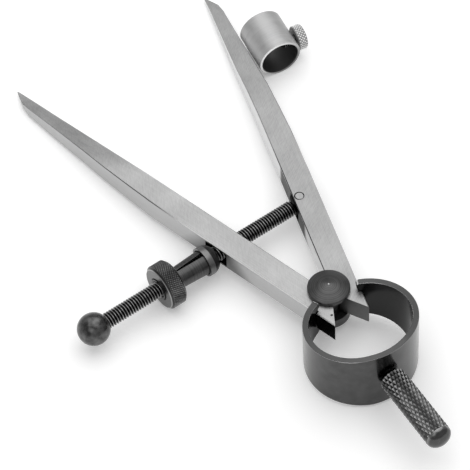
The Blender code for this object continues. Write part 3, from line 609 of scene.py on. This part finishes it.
def spring_band():
    """The whole band with its thickness and broken edges, as a mesh in the tool's frame."""
    start, finish = ear_end(1), math.tau - ear_end(-1)
    web_start, web_finish = web_end(1), math.tau - web_end(-1)
    stretch = (BOW_HALF_WIDTH - BOW_WALL / 2) * math.cos(start)
    turns = sorted(
        radius * (1 - math.cos(math.pi / 2 * k / CORNER_STATIONS)) / stretch
        for radius in (EAR_CORNER, EAR_SLOT_CORNER) for k in range(1, CORNER_STATIONS + 1)
    )
    first, last = max(start + turns[-1], web_start), min(finish - turns[-1], web_finish)
    back_start, back_end = math.pi - SEAM, math.pi + SEAM
    stations = {start, finish, web_start, web_finish, back_start, math.pi, back_end}
    stations |= {start + turn for turn in turns} | {finish - turn for turn in turns}
    stations |= {first + (back_start - first) * k / BAND_STATIONS for k in range(BAND_STATIONS)}
    stations |= {last + (back_end - last) * k / BAND_STATIONS for k in range(BAND_STATIONS)}
    stations = sorted(stations)
    shape = bmesh.new()
    grid = []
    for angle in stations:
        away = min(angle - start, finish - angle) * stretch
        outer = bow_half_height(angle) - corner_drop(away, EAR_CORNER)
        inner = EAR_SLOT / 2
        if not web_start <= angle <= web_finish:
            inner += corner_drop(away, EAR_SLOT_CORNER)
        place = bow_point(angle)
        grid.append([shape.verts.new((place.x, place.y, height)) for height in (-outer, -inner, inner, outer)])
    for here, there, near, far in zip(grid, grid[1:], stations, stations[1:]):
        for row in range(3):
            if row == 1 and not (web_start <= near and far <= web_finish):
                continue
            if row != 1 and not (start <= near and far <= finish):
                continue
            shape.faces.new((here[row], here[row + 1], there[row + 1], there[row]))
    bmesh.ops.delete(shape, geom=[v for v in shape.verts if not v.link_faces], context="VERTS")
    bmesh.ops.recalc_face_normals(shape, faces=shape.faces)
    mesh = bpy.data.meshes.new("band")
    shape.to_mesh(mesh)
    shape.free()
    draft = bpy.data.objects.new("band", mesh)
    bpy.context.scene.collection.objects.link(draft)
    wall = draft.modifiers.new("wall", "SOLIDIFY")
    wall.thickness = BOW_WALL
    wall.offset = 0
    wall.use_even_offset = True
    edges = draft.modifiers.new("edges", "BEVEL")
    edges.width = BOW_EDGE
    edges.segments = 1
    edges.limit_method = "ANGLE"
    edges.angle_limit = math.radians(50)
    bpy.context.view_layer.update()
    ready = bpy.data.meshes.new_from_object(draft.evaluated_get(bpy.context.evaluated_depsgraph_get()))
    bpy.data.objects.remove(draft, do_unlink=True)
    return ready


def spring_half(band_mesh, side, material):
    """One arm of the spring, cut from the whole band at the middle of its back."""
    shape = bmesh.new()
    shape.from_mesh(band_mesh)
    parts = shape.verts[:] + shape.edges[:] + shape.faces[:]
    bmesh.ops.bisect_plane(
        shape, geom=parts, dist=WELD_GAP, plane_co=(BOW_SHIFT, 0, 0), plane_no=(side, 0, 0), clear_inner=True
    )
    bmesh.ops.holes_fill(shape, edges=[e for e in shape.edges if e.is_boundary], sides=0)
    name = "spring_arm_right" if side > 0 else "spring_arm_left"
    return finish_mesh(name, shape, TOOL, material)


def finished(node, material):
    """Gives a CAD node its finish, with faces that blend smoothly up to a sharp edge."""
    piece = frame["nodes"][node]
    piece.data.materials.clear()
    piece.data.materials.append(material)
    if piece.data.has_custom_normals:
        piece.data.attributes.remove(piece.data.attributes["custom_normal"])
    piece.data.shade_smooth()
    piece.modifiers.new("joined", "WELD").merge_threshold = WELD_GAP
    edges = piece.modifiers.new("edges", "EDGE_SPLIT")
    edges.split_angle = SHARP
    edges.use_edge_sharp = False


# ---------------------------------------------------------------- the pieces

# The legs are the same steel: the difference between their tones is painted light and shade, and the side tones, the
# screw's dark tone on the sides and the cut-face tone are painted light and shade too.
left_leg_grain_and_shade_tones, right_leg_grain_and_shade_tones = ("#a2a2a2", "#bababa"), ("#999999", "#b1b1b1")
left_steel = ground_steel(
    "ground_steel_left", leg_frame(-1), -1, left_leg_grain_and_shade_tones, "#b9b9b9", "#b9b9b9", "#808080", "#3c3c3c"
)
right_steel = ground_steel(
    "ground_steel_right", leg_frame(1), 1, right_leg_grain_and_shade_tones, "#b0b0b0", "#dedede", "#1c1c1c", "#7c7c7c"
)
pin_steel = ground_steel("ground_steel_pin", leg_frame(1), 1, right_leg_grain_and_shade_tones, "#b0b0b0", "#b0b0b0", "#8a8a8a", "#7c7c7c")
finished("left_leg", left_steel)
finished("right_leg", right_steel)
finished("screw_swivel_pin", pin_steel)
finished("fulcrum_stud", turned_black("turned_black_stud", TOOL))
finished("grip_rivet", turned_black("turned_black_rivet", GRIP))
finished("screw_ball", polished_black("polished_black_ball"))
washer = frame["nodes"]["cone_washer"]
to_screw = SCREW.inverted() @ washer.matrix_world
washer_start = min((to_screw @ vert.co).z for vert in washer.data.vertices)
finished("cone_washer", turned_black(
    "turned_black_washer", SCREW, 0.00022, "#292929", "#434343", 0.34, washer_start + CUP_CONE
))
finished("split_nut_front", turned_black("turned_black_nut_front", SCREW))
finished("split_nut_rear", turned_black("turned_black_nut_rear", SCREW))
finished("pencil_sleeve", satin_tube("satin_nickel_tube", SLEEVE))

# Spring: two arms cut from one band at the middle of its back, in place of the spring node
spring = black_spring("black_spring_steel", TOOL)
whole_band = spring_band()
for side, leg in ((1, "right_leg"), (-1, "left_leg")):
    arm = spring_half(whole_band, side, spring)
    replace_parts(arm, "bow_spring")
    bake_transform(arm)

# Grip with its diamond knurl, blackened and rubbed grey by the hand
neck = [
    (GRIP_NECK_RADIUS, GRIP_CLEARANCE, 0.0),
    (GRIP_NECK_RADIUS, GRIP_NECK, 0.0),
    (GRIP_RADIUS - GRIP_CHAMFER, GRIP_NECK + GRIP_SHOULDER - GRIP_CHAMFER / 2, 0.0),
]
dome_start = GRIP_LENGTH - GRIP_DOME
knurled = knurl_rows(
    GRIP_RADIUS, GRIP_NECK + GRIP_SHOULDER, dome_start - GRIP_KNURL_STOP, GRIP_KNURL_PITCH, GRIP_KNURL_DEPTH,
    GRIP_STRETCH
)
turns = [math.pi / 2 * k / DOME_ROWS for k in range(DOME_ROWS)]
dome_radius = GRIP_RADIUS - GRIP_CHAMFER / 2
dome = [(dome_radius * math.cos(turn), dome_start + GRIP_DOME * math.sin(turn), 0.0) for turn in turns]
dome += [(GRIP_CHAMFER, GRIP_LENGTH, 0.0)]
grip_points = 2 * round(math.tau * GRIP_RADIUS / GRIP_KNURL_PITCH)
grip = turned_knurled(
    "knurled_grip", neck + knurled + dome, grip_points, GRIP,
    crest_wear_and_painted_light("knurled_black_grip", GRIP, GRIP_RADIUS, GRIP_KNURL_DEPTH, ("#505050", "#7a7a7a", "#aeaeae"), 0.22),
)
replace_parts(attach(grip, "hub"), "finger_grip")

# Screw with its thread rubbed bright by the nut, and a plain black eye on the pin
thread = thread_shape(
    SCREW_RADIUS, SCREW_DEPTH, SCREW_PITCH, EYE_RADIUS, BALL_PLACE - SCREW_BALL_GAP, SCREW_POINTS, SCREW_LEAD
)
add_rod(thread, SCREW_RADIUS - SCREW_DEPTH, SCREW_CORE_START, EYE_RADIUS + 0.1 * MM, SCREW_POINTS)
across = Matrix.Rotation(math.pi / 2, 3, "Y")
add_rod(thread, EYE_RADIUS, -SCREW_RADIUS, SCREW_RADIUS, EYE_POINTS, across)
screw = finish_mesh(
    "threaded_screw", thread, SCREW,
    crest_wear_and_painted_light("threaded_black_screw", SCREW, SCREW_RADIUS, SCREW_DEPTH, eye=EYE_RADIUS),
)
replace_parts(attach(screw, "screw"), "adjusting_screw")

# Wheel of the nut: blackened, with a knurled rim between two chamfers and a painted highlight along the chamfer's
# edge
start = Vector(joint("nut_spin")["pos_m"]) - SCREW.translation
WHEEL = Matrix.Translation(start) @ SCREW
edge = WHEEL_RADIUS - WHEEL_CHAMFER
wheel_rows = [(WHEEL_BORE, 0.0, 0.0), (edge, 0.0, 0.0)]
wheel_rows += [(WHEEL_RADIUS - WHEEL_STEP, WHEEL_CHAMFER - WHEEL_STEP, 0.0)]
wheel_rows += knurl_rows(
    WHEEL_RADIUS, WHEEL_CHAMFER, WHEEL_WIDTH - WHEEL_CHAMFER, WHEEL_KNURL_PITCH, WHEEL_KNURL_DEPTH
)
wheel_rows += [(WHEEL_RADIUS - WHEEL_STEP, WHEEL_WIDTH - WHEEL_CHAMFER + WHEEL_STEP, 0.0)]
wheel_rows += [(edge, WHEEL_WIDTH, 0.0), (WHEEL_BORE, WHEEL_WIDTH, 0.0)]
wheel = turned_knurled(
    "knurled_wheel", wheel_rows, 2 * round(math.tau * WHEEL_RADIUS / WHEEL_KNURL_PITCH), WHEEL,
    crest_wear_and_painted_light(
        "knurled_black_wheel", WHEEL, WHEEL_RADIUS, WHEEL_KNURL_DEPTH, ("#393939", "#747474", "#c7c7c7"), edge=edge
    ),
    closed=True,
)
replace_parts(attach(wheel, "nut"), "nut_wheel")

# Clamp screw: fine thread on the shank
shank = thread_shape(
    CLAMP_RADIUS, CLAMP_DEPTH, CLAMP_PITCH, CLAMP_START, CLAMP_REACH + CLAMP_INTO_HEAD, CLAMP_POINTS, CLAMP_LEAD
)
shank = finish_mesh(
    "threaded_clamp_shank", shank, CLAMP, crest_wear_and_painted_light("threaded_black_shank", CLAMP, CLAMP_RADIUS, CLAMP_DEPTH)
)
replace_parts(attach(shank, "clamp_shank"), "clamp_screw")

# Clamp head: nickel drawn nearly white and matt as a painted reflection of the bright surroundings, with painted
# shade in the knurl's grooves
edge = CLAMP_HEAD_RADIUS - CLAMP_HEAD_CHAMFER
top = CLAMP_REACH + CLAMP_HEAD_WIDTH
head_rows = [(CLAMP_HEAD_BORE, CLAMP_REACH, 0.0), (edge, CLAMP_REACH, 0.0)]
head_rows += knurl_rows(
    CLAMP_HEAD_RADIUS, CLAMP_REACH + CLAMP_HEAD_CHAMFER, top - CLAMP_HEAD_CHAMFER, HEAD_KNURL_PITCH, HEAD_KNURL_DEPTH
)
head_rows += [(edge, top, 0.0), (CLAMP_HEAD_CENTRE, top, 0.0)]
head = turned_knurled(
    "knurled_clamp_head", head_rows, 2 * round(math.tau * CLAMP_HEAD_RADIUS / HEAD_KNURL_PITCH), CLAMP,
    # Near-white tones are a painted reflection; the grey grooves are painted shade
    crest_wear_and_painted_light(
        "nickel_head_painted_reflection", CLAMP, CLAMP_HEAD_RADIUS, HEAD_KNURL_DEPTH, ("#7c7c7c", "#ffffff", "#ffffff"), 0.35,
        0.05
    ),
)
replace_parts(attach(head, "clamp_head"), "clamp_screw_head")

# ---------------------------------------------------------------- camera, floor and light

# Camera in the tool's own frame, for a square picture of 470 pixels
PICTURE_PIXELS = 470
SENSOR_WIDTH = 36.0
FOCAL_PIXELS = 2779.2618
CAMERA_PLACE = Vector((-0.3205558, -0.4869814, 0.7699845))
CAMERA_RIGHT = Vector((0.8372602, -0.5454301, -0.0387474))
CAMERA_DOWN = Vector((-0.4477744, -0.6432321, -0.6210882))
CAMERA_AHEAD = Vector((0.3138366, 0.5373625, -0.7827823))
camera = bpy.data.objects.new("camera", bpy.data.cameras.new("camera"))
bpy.context.scene.collection.objects.link(camera)
camera.data.sensor_width = SENSOR_WIDTH
camera.data.lens = FOCAL_PIXELS * SENSOR_WIDTH / PICTURE_PIXELS
camera.data.clip_start, camera.data.clip_end = 0.05, 20.0
camera.matrix_world = TOOL @ columns(CAMERA_RIGHT, -CAMERA_DOWN, -CAMERA_AHEAD, CAMERA_PLACE)
bpy.context.scene.camera = camera

mesh = bpy.data.meshes.new("floor")
mesh.from_pydata([(-6, -6, 0), (6, -6, 0), (6, 6, 0), (-6, 6, 0)], [], [(0, 1, 2, 3)])
floor = bpy.data.objects.new("floor", mesh)
bpy.context.scene.collection.objects.link(floor)
floor.location.z = -0.2 * MM

# White paper: matt, without gloss, and bright where the camera or a reflection sees it
paper = bpy.data.materials.new("white_paper_floor")
paper.use_nodes = True
tree = paper.node_tree
rays = add(tree, "ShaderNodeLightPath")
seen = add(tree, MATH, LARGER, i0=rays.outputs["Is Camera Ray"], i1=rays.outputs["Is Glossy Ray"])
join(
    tree, tree.nodes["Principled BSDF"], Base_Color="#f4f4f4", Roughness=0.9, Specular_IOR_Level=0.1,
    Emission_Color="#ffffff", Emission_Strength=add(tree, RANGE, Value=seen, To_Max=0.22),
)
floor.data.materials.append(paper)

world = bpy.data.worlds.new("studio")
bpy.context.scene.world = world
world.use_nodes = True
tree = world.node_tree
rays = add(tree, "ShaderNodeLightPath")
strength = add(tree, RANGE, Value=rays.outputs["Is Camera Ray"], To_Min=0.45, To_Max=1.0)
join(tree, tree.nodes["Background"], Color="#ffffff", Strength=strength)


def softbox(name, place, target, width, height, watts):
    light = bpy.data.lights.new(name, "AREA")
    light.shape = "RECTANGLE"
    light.size, light.size_y = width, height
    light.energy = watts
    lamp = bpy.data.objects.new(name, light)
    bpy.context.scene.collection.objects.link(lamp)
    lamp.location = place
    lamp.rotation_euler = (Vector(target) - Vector(place)).to_track_quat("-Z", "Y").to_euler()


softbox("key_softbox", (0.35, 0.45, 1.6), (0.1, 0.1, 0), 2.4, 2.4, 24.0)
softbox("fill_softbox", (-0.9, -0.5, 1.1), (0, 0, 0), 0.8, 0.8, 2.0)

bpy.context.scene.view_settings.view_transform = "Standard"
